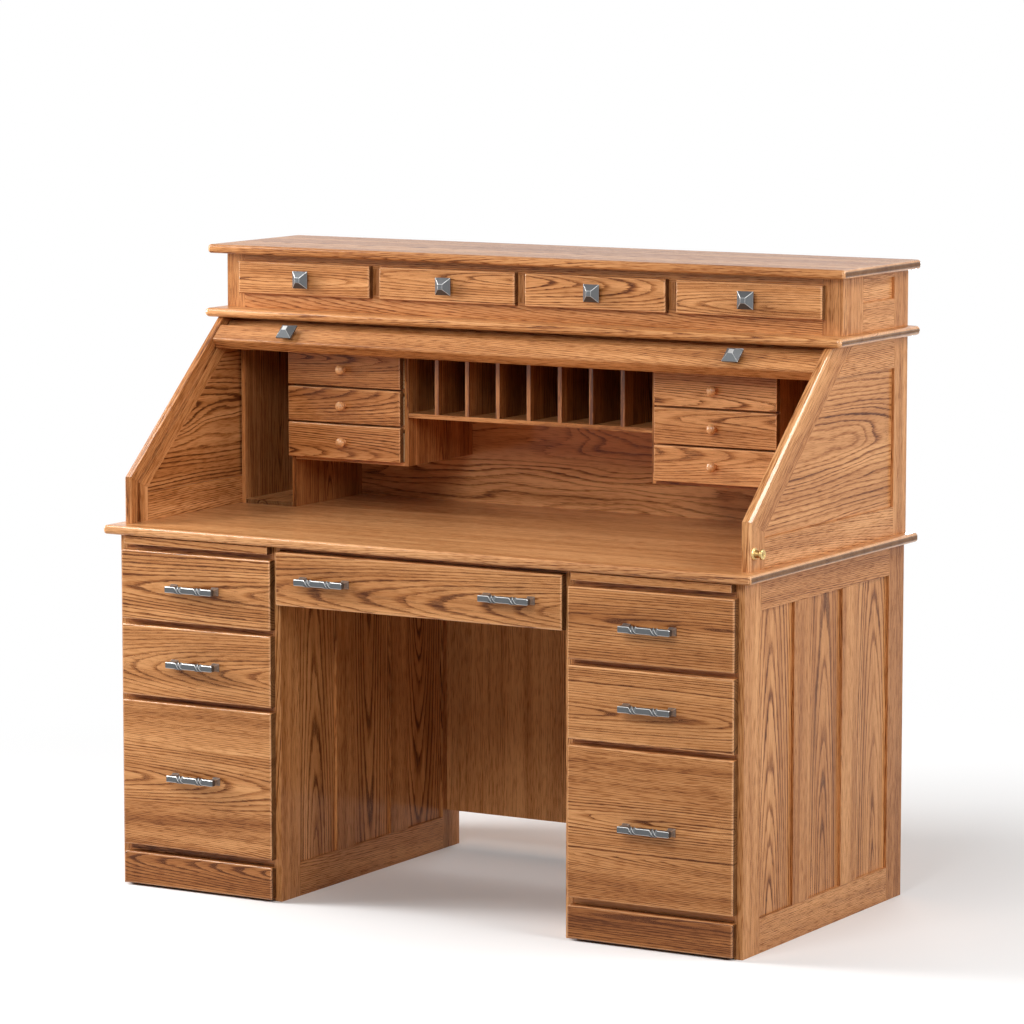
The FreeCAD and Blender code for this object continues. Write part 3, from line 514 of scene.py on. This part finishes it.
# The rear stile of the right pedestal is painted darker, as painted shade at the back.
SHADED_REAR_STILE = {"right_pedestal_frame": (3,)}
CASE_GLUED = (("desk_top", polished_oak), ("ledge", golden_oak), ("hutch_top", golden_oak))
CASE_FRAMES = ("left_pedestal_frame", "right_pedestal_frame", "hutch_face_frame", "hutch_sides",
               "centre_drawer_rails", "hutch_dividers", "hutch_back", "pigeonhole_shelves")
for node, face in CASE_GLUED:
    lay_boards(node, TOP_EDGE, strip=GLUE_STRIP, arch=0.45, stain=STAIN_AND_PAINTED_LIGHT.get(node, 0.0), face=face)
for node in CASE_FRAMES:
    lay_boards(node, FINE, stain=STAIN_AND_PAINTED_LIGHT.get(node, 0.0), shaded_boards=SHADED_REAR_STILE.get(node, ()))
# The left slope side is painted darker, as shade over the left bay, and the right one a little lighter,
# as painted light.
for side, outward, stain in (("left", -1, -0.10), ("right", 1, 0.05)):
    lay_boards(side + "_slope_side", FINE, wide=1.4, stain=stain, chamfer=(outward, CHAMFER), year=0.0068)
# The base boards are painted darker, as painted shade near the floor.
lay_boards("base_boards", BASE_EDGE, arch=0.7, stain=-0.34)
for node in ("web_frames", "pedestal_floors"):
    lay_boards(node, FINE, along="x")
lay_boards("pedestal_panels", FINE, along="z", stain=0.02, year=0.0095)
# The letter dividers are painted dark as the shade inside the slots, and their front faces are marked so
# that they are painted lighter again.
lay_boards("letter_dividers", FINE, along="z", stain=-0.52, lit_fronts=0.8)
# The pigeonhole uprights take their painted shade from the table above.
for node in ("pedestal_backs", "pigeonhole_uprights"):
    lay_boards(node, FINE, along="z", stain=STAIN_AND_PAINTED_LIGHT.get(node, 0.0))
# The modesty panel and the upper back are painted lighter, as painted light in the kneehole and under the
# shelf.
lay_boards("modesty_panel", FINE, along="z", strip=GLUE_STRIP, arch=0.9, stain=0.28)
lay_boards("upper_back", FINE, arch=1.8, stain=0.24, year=0.0066)
print("case nodes dressed:", len(shown))

# %% [markdown]
# ## Drawers, writing boards and roll front
# A drawer shows an oak front and hides a box of plain pale wood, so only the first board of each
# drawer takes the stained finish. The small drawers' knobs are turned later and skipped here.

# %% Dress what slides and rolls
SMALL_EDGE = 0.0010
FILE_STRIP = 0.12
BOX_BOARDS = range(1, 20)
FRONT_STAIN = {"left_drawer_1": -0.04, "left_drawer_2": 0.11, "right_drawer_1": -0.05,
               "right_drawer_3": 0.02, "centre_drawer": -0.19}
# The small drawers on the left are painted darker, as shade from the left slope side, and those on the
# right a touch lighter.
SMALL_PAINTED_SHADE = {"left": -0.14, "right": 0.04}
rows_of_three = [(side, row) for side in ("left", "right") for row in (1, 2, 3)]
drawers = [f"{side}_drawer_{row}" for side, row in rows_of_three] + ["centre_drawer"]
small_drawers = [f"{side}_pigeonhole_drawer_{row}" for side, row in rows_of_three]
hutch_drawers = [f"hutch_drawer_{row}" for row in (1, 2, 3, 4)]
for node in drawers:
    glued = FILE_STRIP if node.endswith("drawer_3") else ONE_PIECE
    lay_boards(node, EASED, strip=glued, arch=0.95, box=BOX_BOARDS, stain=FRONT_STAIN.get(node, 0.0))
for node in hutch_drawers:
    lay_boards(node, EASED, arch=0.85, box=BOX_BOARDS, stain=-0.02)
for node in small_drawers:
    knob_at = len(boards_of(node)) - 1
    stain = SMALL_PAINTED_SHADE[node.split("_")[0]]
    lay_boards(node, SMALL_EDGE, arch=0.7, skip=(knob_at,), box=BOX_BOARDS, stain=stain)
for node in ("left_writing_slide", "right_writing_slide", "lead_rail"):
    lay_boards(node, SMALL_EDGE, arch=0.1, stain=-0.08)
for node in ("curtain_slats", "lead_slats", "tail_slats"):
    lay_boards(node, FINE)
print("drawers dressed:", len(drawers + small_drawers + hutch_drawers))

# %% [markdown]
# ## Pewter, brass and canvas
# The pulls and square knobs are cast metal with a dark wash rubbed off the edges. Each point of
# a casting stores how much it is rubbed, and the finish turns that into brightness: worn edges
# shine and the flats stay grey. The lock is plain brass, and the roll front is backed with canvas.


# %% Metal and cloth finishes
THREADS = 5200.0


def specks(wire, place, fine, detail):
    """Noise that is the same in every direction."""
    return wire.noise(*[side * fine for side in place], detail)


def worn_metal(name, dark, bright, rough):
    finish, wire, shader = start_finish(name, metallic=1.0)
    place = wire.attribute("grain").parts()
    wear = wire.attribute("wear", "Fac")
    grime = specks(wire, place, 240.0, 4.0)
    pits = specks(wire, place, 1500.0, 1.0)
    polish = (wear + grime * 0.5 - 0.25).rise(0.0, 1.0)
    colour = polish.blend((*dark, 1), (*bright, 1))
    dull = rough + (1 - polish) * 0.16 + pits * 0.06
    lie = relief(wire, pits + grime, 0.12, 0.0002)
    link_finish(wire, shader, base_color=colour, roughness=dull, normal=lie)
    return finish


def canvas(name):
    finish, wire, shader = start_finish(name, sheen_weight=0.3)
    x, y, z = wire.attribute("grain").parts()
    warp = wire.math("SINE", x * THREADS)
    weft = wire.math("SINE", y * THREADS)
    weave = warp * weft * 0.5 + 0.5
    slub = wire.noise(x * 60.0, y * 900.0, z)
    tint = weave * 0.5 + slub * 0.5
    colour = tint.blend((0.22, 0.17, 0.10, 1), (0.46, 0.39, 0.27, 1))
    rough = 0.82 + slub * 0.12
    lie = relief(wire, weave, 0.4, 0.0003)
    link_finish(wire, shader, base_color=colour, roughness=rough, normal=lie)
    return finish


pewter = worn_metal("rubbed_pewter", (0.115, 0.12, 0.125), (0.56, 0.56, 0.55), 0.33)
brass = worn_metal("lock_brass", (0.34, 0.21, 0.075), (0.76, 0.56, 0.25), 0.22)
backing_canvas = canvas("backing_canvas")
print("metal and cloth:", pewter.name, brass.name, backing_canvas.name)

# %% [markdown]
# ## Loops of points
# Bars, knobs and the lock are all made the same way: a closed loop of points is repeated along a
# line, changing as it goes, and neighbouring loops are skinned with quads. A turned piece is
# a round loop that changes its radius, and a twisted bar is a square loop that turns.


# %% Skin loops, and store wear
BLUNT_BEND, BEND_SPREAD = 0.25, 0.5


def skin(shape, loops, closed=True, worn=None):
    """Quads between loops. Worn gives the wear of each point of a loop."""
    if worn:
        wear = shape.verts.layers.float.get("wear") or shape.verts.layers.float.new("wear")
    rows = [[shape.verts.new(point) for point in loop] for loop in loops]
    for row in rows if worn else ():
        for vertex, amount in zip(row, worn):
            vertex[wear] = amount
    for low, high in zip(rows, rows[1:]):
        for index in range(len(low)):
            after = (index + 1) % len(low)
            shape.faces.new((low[index], low[after], high[after], high[index]))
    if closed:
        shape.faces.new(rows[0][::-1])
        shape.faces.new(rows[-1])


def turned(shape, centre, axis, profile, sides=32, closed=True):
    """Round loops along an axis: the profile lists (distance, radius)."""
    turn = axis.to_track_quat("Z", "Y").to_matrix()
    angles = [step * math.tau / sides for step in range(sides)]
    loops = []
    for far, radius in profile:
        circle = [Vector((radius * math.cos(angle), radius * math.sin(angle), far)) for angle in angles]
        loops.append([centre + turn @ point for point in circle])
    skin(shape, loops, closed)


def finish_cast(shape, node, finish):
    """One piece from loops. Where no wear is stored yet, sharp bends get it."""
    bmesh.ops.recalc_face_normals(shape, faces=shape.faces)
    shape.normal_update()
    shape.verts.index_update()
    if not shape.verts.layers.float.get("wear"):
        wear = shape.verts.layers.float.new("wear")
        for vertex in shape.verts:
            bend = max(edge.calc_face_angle(0) for edge in vertex.link_edges)
            vertex[wear] = min(1.0, max(0.0, bend - BLUNT_BEND) / BEND_SPREAD)
    mesh = bpy.data.meshes.new(node + "_cast")
    shape.to_mesh(mesh)
    shape.free()
    store(mesh, "grain", [tuple(vertex.co) for vertex in mesh.vertices])
    mesh.materials.append(finish)
    return show_piece(mesh, node)


print("loops can be skinned")

# %% [markdown]
# ## Bar pulls
# Each pull is a square bar on two flared feet. In two places the bar is twisted half a turn,
# which throws the bright diagonal lines seen on it. The corners of the square loop are cut,
# so that the twist has a narrow worn edge to shine.

# %% Cast the pulls
BAR = 0.00625
BAR_BEHIND = 0.0085
PULL_HALF = 0.058
TIP_CUT = 0.0012
FOOT_AT = 0.051
FOOT_HALF = 0.0085
TWIST_AT = (-0.024, 0.024)
TWIST_LONG = 0.021
WORN_BAND = 0.0007
CORNERS_WORN = (1.0, 0.0, 0.0, 1.0) * 4
FEET_WORN = (1.0, 0.45, 0.45, 1.0) * 4


def square_loop(half, cut):
    """A square with cut corners. Two points inside each side keep the wear near the corners."""
    side = (cut - half, cut - half + WORN_BAND, half - cut - WORN_BAND, half - cut)
    loop = []
    for quarter in range(4):
        turn = Matrix.Rotation(quarter * math.pi / 2, 2)
        loop += [turn @ Vector((half, up)) for up in side]
    return loop


def bar_turn(x):
    """How far the bar is twisted at a place along it."""
    turned_so_far = 0.0
    for middle in TWIST_AT:
        step = min(1.0, max(0.0, (x - middle) / TWIST_LONG + 0.5))
        turned_so_far += math.pi * step * step * (3 - 2 * step)
    return turned_so_far


def cast_pull(shape, centre, wood):
    """A twisted bar round its middle, and two feet that reach back to the wood."""
    stations = [(-PULL_HALF, BAR - TIP_CUT), (-PULL_HALF + TIP_CUT, BAR)]
    stations += [(step * 0.001, BAR) for step in range(-56, 57)]
    stations += [(PULL_HALF - TIP_CUT, BAR), (PULL_HALF, BAR - TIP_CUT)]
    loops = []
    for x, half in stations:
        turn = Matrix.Rotation(bar_turn(x), 2)
        loop = [turn @ point for point in square_loop(half, 0.0008)]
        loops.append([centre + Vector((x, point.x, point.y)) for point in loop])
    skin(shape, loops, worn=CORNERS_WORN)
    deep = wood - centre.y
    foot = ((0.002, 0.0061), (deep * 0.45, 0.0062), (deep * 0.72, 0.0070),
            (deep * 0.86, 0.0083), (deep - 0.0008, FOOT_HALF), (deep, FOOT_HALF - 0.0003))
    for side in (-FOOT_AT, FOOT_AT):
        loops = []
        for far, half in foot:
            square = square_loop(half, 0.0009)
            loops.append([centre + Vector((side + point.x, far, point.y)) for point in square])
        skin(shape, loops, worn=FEET_WORN)


pulls = [f"{side}_pull_{row}" for side, row in rows_of_three] + ["centre_pulls"]
end_to_middle = FOOT_AT + FOOT_HALF
for node in pulls:
    low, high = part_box(node)
    shape = bmesh.new()
    for x in sorted({round(low.x + end_to_middle, 5), round(high.x - end_to_middle, 5)}):
        cast_pull(shape, Vector((x, low.y + BAR_BEHIND, (low.z + high.z) / 2)), high.y)
    finish_cast(shape, node, pewter)
print("nodes with pulls cast:", len(pulls))

# %% [markdown]
# ## Square knobs
# The hutch drawers and the lead rail carry four-sided knobs, a low pyramid with a flat tip on
# a round neck. The frame already has that form, so it is only taken apart, softened like worn
# casting, and given the wear of its edges.

# %% Cast the square knobs
SOFTENED = 0.0005
KNOB_FLAT = 0.00002
knobs = [f"hutch_knob_{row}" for row in (1, 2, 3, 4)] + ["lead_rail_knobs"]
for node in knobs:
    shape = bmesh.new()
    for solid in boards_of(node):
        knob = eased(solid, SOFTENED)
        flats = [face for face in knob.faces if face.calc_area() > KNOB_FLAT]
        bmesh.ops.inset_individual(knob, faces=flats, thickness=SOFTENED)
        part = bpy.data.meshes.new("knob_part")
        knob.to_mesh(part)
        knob.free()
        shape.from_mesh(part)
        bpy.data.meshes.remove(part)
    finish_cast(shape, node, pewter)
print("nodes with square knobs cast:", len(knobs))

# %% [markdown]
# ## Turned wooden knobs
# The pigeonhole drawers have small mushroom knobs turned from oak. A lathe makes such a knob from
# one profile, and so does this cell: a list of distances from the drawer front and radii. The
# grain runs through the knob, so its face shows the rings end on.

# %% Turn the small knobs
MUSHROOM = ((0.00, 0.0062), (0.06, 0.0062), (0.13, 0.0054), (0.27, 0.0046), (0.38, 0.0051),
            (0.45, 0.0070), (0.50, 0.0091), (0.56, 0.0102), (0.64, 0.0105), (0.74, 0.0102),
            (0.84, 0.0090), (0.92, 0.0069), (0.97, 0.0045), (0.99, 0.0020), (1.00, 0.0004))
KNOB_YEAR = 0.0030
for node in small_drawers:
    spots = [Vector(point) for ring in boards_of(node)[-1] for point in ring]
    low = Vector([min(point[axis] for point in spots) for axis in range(3)])
    high = Vector([max(point[axis] for point in spots) for axis in range(3)])
    wood = Vector(((low.x + high.x) / 2, high.y, (low.z + high.z) / 2))
    profile = [(part * (high.y - low.y), radius) for part, radius in MUSHROOM]
    shape = bmesh.new()
    turned(shape, wood, Vector((0, -1, 0)), profile)
    bmesh.ops.recalc_face_normals(shape, faces=shape.faces)
    mesh = bpy.data.meshes.new(node + "_knob")
    shape.to_mesh(mesh)
    shape.free()
    luck = random.Random(node)
    rows = []
    for vertex in mesh.vertices:
        x, y, z = vertex.co - wood
        rows.append((y, x, z))
    store(mesh, "grain", rows)
    store(mesh, "lot", [(luck.uniform(0, 1), ONE_PIECE, 0.3)] * len(rows))
    # The whole knob is marked as rubbed, which paints it lighter as a painted highlight and gives it more
    # coat.
    for name, value in (("stain", 0.05), ("year", KNOB_YEAR), ("rubbed", 1.0)):
        store(mesh, name, [value] * len(rows))
    mesh.materials.append(polished_oak)
    show_piece(mesh, None, carriers[node])
print("small knobs turned:", len(small_drawers))

# %% [markdown]
# ## Push lock
# A brass plunger on the right side holds the roll front shut. It looks like a small spool: a ring
# on the wood, a waisted sleeve and a rimmed head, with a small bar in its hollow face where the key
# goes. Both parts are turned. The ring stays open in the middle so that the sleeve can slide
# through it.

# %% Turn the lock
OUTWARD = Vector((1, 0, 0))
BORE = 0.0084
KEY_WIDE, KEY_TALL, KEY_LONG = 0.0012, 0.0064, 0.0009
KEY_BEHIND_TIP = 0.0012


def inner_end(node):
    """The middle of the end that a lock part has in the wood."""
    low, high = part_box(node)
    return Vector((low.x, (low.y + high.y) / 2, (low.z + high.z) / 2))


seat = inner_end("lock_rosette")
ring = [(0.0, BORE), (0.0, 0.0125), (0.0013, 0.0125), (0.0021, 0.0119), (0.0025, 0.0109),
        (0.0034, 0.0105), (0.0040, 0.0096), (0.0040, BORE), (0.0, BORE)]
shape = bmesh.new()
turned(shape, seat, OUTWARD, ring, closed=False)
bmesh.ops.remove_doubles(shape, verts=shape.verts, dist=1e-6)
finish_cast(shape, "lock_rosette", brass)

root = inner_end("lock_plunger")
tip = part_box("lock_plunger")[1].x - root.x
spool = [(0.0, 0.0024), (0.0006, 0.0030), (0.0170, 0.0030), (0.0170, 0.0076), (0.0174, 0.0080),
         (0.0250, 0.0080), (0.0275, 0.0071), (0.0297, 0.0068), (0.0318, 0.0071), (0.0330, 0.0079),
         (0.0337, 0.0098), (0.0345, 0.0105), (0.0368, 0.0105), (tip - 0.0008, 0.0102),
         (tip, 0.0094), (tip, 0.0074), (tip - 0.0010, 0.0068), (tip - 0.0010, 0.0004)]
shape = bmesh.new()
turned(shape, root, OUTWARD, spool)
key_low = root + Vector((tip - KEY_BEHIND_TIP, -KEY_WIDE / 2, -KEY_TALL / 2))
key_loop = ((0, 0), (KEY_WIDE, 0), (KEY_WIDE, KEY_TALL), (0, KEY_TALL))
skin(shape, [[key_low + Vector((far, y, z)) for y, z in key_loop] for far in (0.0, KEY_LONG)])
finish_cast(shape, "lock_plunger", brass)
print("lock turned, standing", round(root.x + tip - seat.x, 4), "m proud")

# %% [markdown]
# ## Canvas backing
# The roll front's slats are glued to a sheet of canvas, which is their hinge. It shows only from
# underneath, when the front is open. It is a thin woven sheet with turned edges at both ends.

# %% Stretch the canvas
CLEAR_OF_SLATS = 0.0001
low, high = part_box("curtain_canvas")
over = high.z - CLEAR_OF_SLATS
hem = [(0.0, 0.0003), (0.0006, 0.0), (0.009, 0.0), (0.0095, 0.0003)]
line = hem + [(high.x - low.x - far, up) for far, up in reversed(hem)]
sheet_loops = []
for x, up in line:
    section = ((low.y, low.z + up), (high.y, low.z + up), (high.y, over), (low.y, over))
    sheet_loops.append([Vector((low.x + x, y, z)) for y, z in section])
shape = bmesh.new()
skin(shape, sheet_loops)
sheet = finish_cast(shape, "curtain_canvas", backing_canvas)
print("canvas stretched:", round(high.x - low.x, 3), "by", round(high.y - low.y, 3), "m")

# %% [markdown]
# ## Camera
# The photograph was taken from the front right with a long lens, from a little above the desk. A long
# lens keeps the edges almost parallel. The camera's place and turn were solved from the corners of
# the desk in the photograph, so that the render can be laid over it.

# %% Stand the camera
EYE_AT = (4.7535, -8.0764, 1.9887)
LOOKS_DOWN, TURNED_LEFT = 7.239, 30.39
eye = bpy.data.cameras.new("eye")
eye.lens = 160.2
eye.sensor_width = 36.0
camera = put_in_scene("camera", eye)
camera.location = EYE_AT
camera.rotation_euler = (math.radians(90 - LOOKS_DOWN), 0, math.radians(TURNED_LEFT))
bpy.context.scene.camera = camera
print("camera stands at", tuple(round(value, 2) for value in camera.location))

# %% [markdown]
# ## Floor and light
# The desk stands in a white studio. The floor is a pale sheet that keeps the shadow and fades to
# white further out. A soft lamp on the left and one in front light the drawer fronts, a third lights
# the right side, and a low one keeps the back from going black. Two more hang where the polished
# edges mirror them: one for the drawers' top edges, one for the slope's outer edge. The sky is white
# to the eye and to the polish, and dim as a lamp.


# %% Lay the floor, hang the lamps
FLOOR_HALF = 20
SKY_AS_LAMP = 0.06


def soft_lamp(name, place, target, size, power):
    data = bpy.data.lights.new(name, "AREA")
    data.shape = "RECTANGLE"
    data.size, data.size_y = size
    data.energy = power
    lamp = put_in_scene(name, data)
    lamp.location = place
    lamp.rotation_euler = (Vector(target) - Vector(place)).to_track_quat("-Z", "Y").to_euler()


def seen_rays(wire):
    """One for what the camera sees, straight or in a mirror, and nought for what only lights."""
    path = wire.node("LightPath").socket.node.outputs
    camera, glossy, through = [Wire(wire.tree, path[f"Is {kind} Ray"])
                               for kind in ("Camera", "Glossy", "Transmission")]
    return wire.math("MINIMUM", camera + glossy + through, 1.0)


def floor_paper():
    paper = bpy.data.materials.new("floor_paper")
    wire = empty_tree(paper)
    seen = seen_rays(wire)
    x, y = wire.node("NewGeometry", None, None, "Position").parts()[:2]
    away = wire.math("SQRT", x * x + y * y).rise(0.9, 2.4) * seen
    tint = seen.blend((0.62, 0.56, 0.48, 1), (0.95, 0.95, 0.95, 1))
    sheet = wire.node("BsdfDiffuse", None, {"Color": tint})
    white = wire.node("Emission", None, {"Color": (1, 1, 1, 1), "Strength": 1.0})
    both = wire.node("MixShader", None, {0: away, 1: sheet, 2: white})
    wire.node("OutputMaterial", None, {"Surface": both})
    return paper


floor_mesh = bpy.data.meshes.new("floor")
floor_corners = [(FLOOR_HALF * x, FLOOR_HALF * y, 0) for x, y in ((-1, -1), (1, -1), (1, 1), (-1, 1))]
floor_mesh.from_pydata(floor_corners, [], [(0, 1, 2, 3)])
floor = put_in_scene("floor", floor_mesh)
floor_mesh.materials.append(floor_paper())
soft_lamp("left_lamp", (-3.2, -1.2, 1.7), (0.0, 0.0, 0.85), (0.9, 0.9), 76)
soft_lamp("front_lamp", (0.5, -2.6, 2.4), (0.0, 0.0, 0.75), (1.8, 1.1), 42)
soft_lamp("side_lamp", (3.4, -0.6, 1.8), (0.5, 0.0, 0.9), (1.1, 1.1), 43)
soft_lamp("top_lamp", (-2.0, -0.85, 2.65), (0.0, 0.0, 0.9), (1.3, 0.8), 42)
soft_lamp("edge_lamp", (2.42, 0.30, 2.92), (0.4, 0.0, 0.9), (0.9, 0.9), 30)
soft_lamp("back_lamp", (-0.6, 3.4, 0.95), (0.0, 0.0, 0.7), (1.8, 0.5), 60)

sky = bpy.data.worlds.new("studio")
bpy.context.scene.world = sky
wire = empty_tree(sky)
strength = SKY_AS_LAMP + seen_rays(wire) * (1 - SKY_AS_LAMP)
glow = wire.node("Background", None, {"Color": (1, 1, 1, 1), "Strength": strength})
wire.node("OutputWorld", None, {"Surface": glow})
bpy.context.scene.view_settings.view_transform = "Standard"
print("floor and lamps ready")
